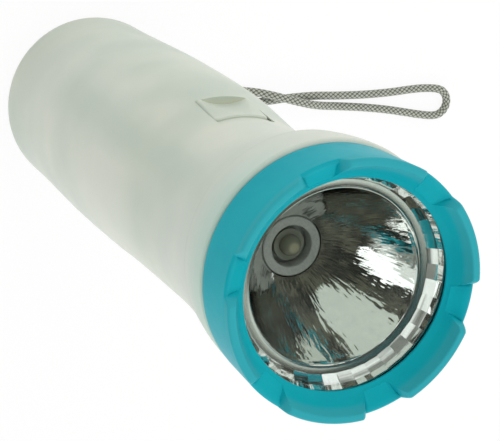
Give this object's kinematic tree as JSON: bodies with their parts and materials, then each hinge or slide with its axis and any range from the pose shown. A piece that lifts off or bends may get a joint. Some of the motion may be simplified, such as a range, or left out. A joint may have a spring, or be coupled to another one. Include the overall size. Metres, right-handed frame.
{
  "type": "led flashlight",
  "caption": "Hand torch with a milky moulded barrel, castellated turquoise screw bezel, faceted reflector, slide switch and braided wrist cord.",
  "frame": {"origin": "middle of the flat base of the tail, on the surface that the torch stands on", "axes": "+Z along the barrel towards the lens; the slide switch faces -Y; the wrist cord leaves the tail towards -X"},
  "size_m": [0.161, 0.0636, 0.194],
  "materials": {
    "barrel_plastic": "milky grey-green polypropylene, slightly translucent, satin",
    "bezel_plastic": "turquoise moulded plastic, semi-gloss",
    "lens_clear": "clear polished plastic window",
    "seal_rubber": "black nitrile rubber",
    "reflector_chrome": "vacuum metallised plastic with a fine ripple",
    "collar_plastic": "dark grey plastic",
    "white_plastic": "white moulded plastic",
    "led_phosphor": "clear silicone over yellow phosphor",
    "board_aluminium": "bare aluminium circuit board",
    "resistor_ceramic": "tan ceramic body",
    "contact_brass": "stamped brass",
    "contact_steel": "tinned spring steel",
    "cell_jacket": "plain dark jacket on a steel can",
    "cell_paste": "dense black paste",
    "strap_braid": "grey polyester braid"
  },
  "bodies": {
    "barrel": {"barrel_shell": "barrel_plastic", "neck_seal": "seal_rubber", "spring_plate": "contact_steel", "tail_spring": "contact_steel", "return_strip": "contact_steel", "front_strip": "contact_steel", "switch_frame": "white_plastic", "strap_bar": "contact_steel", "strap_hitch": "strap_braid", "strap_cord": "strap_braid"},
    "lamp_module": {"reflector": "reflector_chrome", "lens": "lens_clear", "lens_seal": "seal_rubber", "led_collar": "collar_plastic", "led_body": "white_plastic", "led_dome": "led_phosphor", "led_board": "board_aluminium", "ballast_resistor": "resistor_ceramic", "lamp_holder": "white_plastic", "centre_contact": "contact_brass", "ring_contact": "contact_steel", "front_cell_can": "cell_jacket", "front_cell_core": "cell_paste", "front_cell_seal": "collar_plastic", "front_cell_cap": "contact_steel", "rear_cell_can": "cell_jacket", "rear_cell_core": "cell_paste", "rear_cell_seal": "collar_plastic", "rear_cell_cap": "contact_steel"},
    "bezel": {"bezel_ring": "bezel_plastic"},
    "switch": {"switch_knob": "barrel_plastic", "switch_runner": "contact_brass"}
  },
  "joints": [
    {"name": "head_lift", "type": "slide", "parent": "barrel", "child": "lamp_module", "axis": [0, 0, 1], "range_m": [0, 0.00375], "deforming": ["tail_spring"]},
    {"name": "bezel_turn", "type": "hinge", "parent": "lamp_module", "child": "bezel", "pos_m": [0, 0, 0.18], "axis": [0, 0, 1], "range_deg": [0, 540]},
    {"name": "switch_slide", "type": "slide", "parent": "barrel", "child": "switch", "axis": [0, 0, 1], "range_m": [0, 0.0042]}
  ],
  "couplings": [
    {"joint": "bezel_turn", "follows": "head_lift", "rad_per_m": 2513.3}
  ]
}
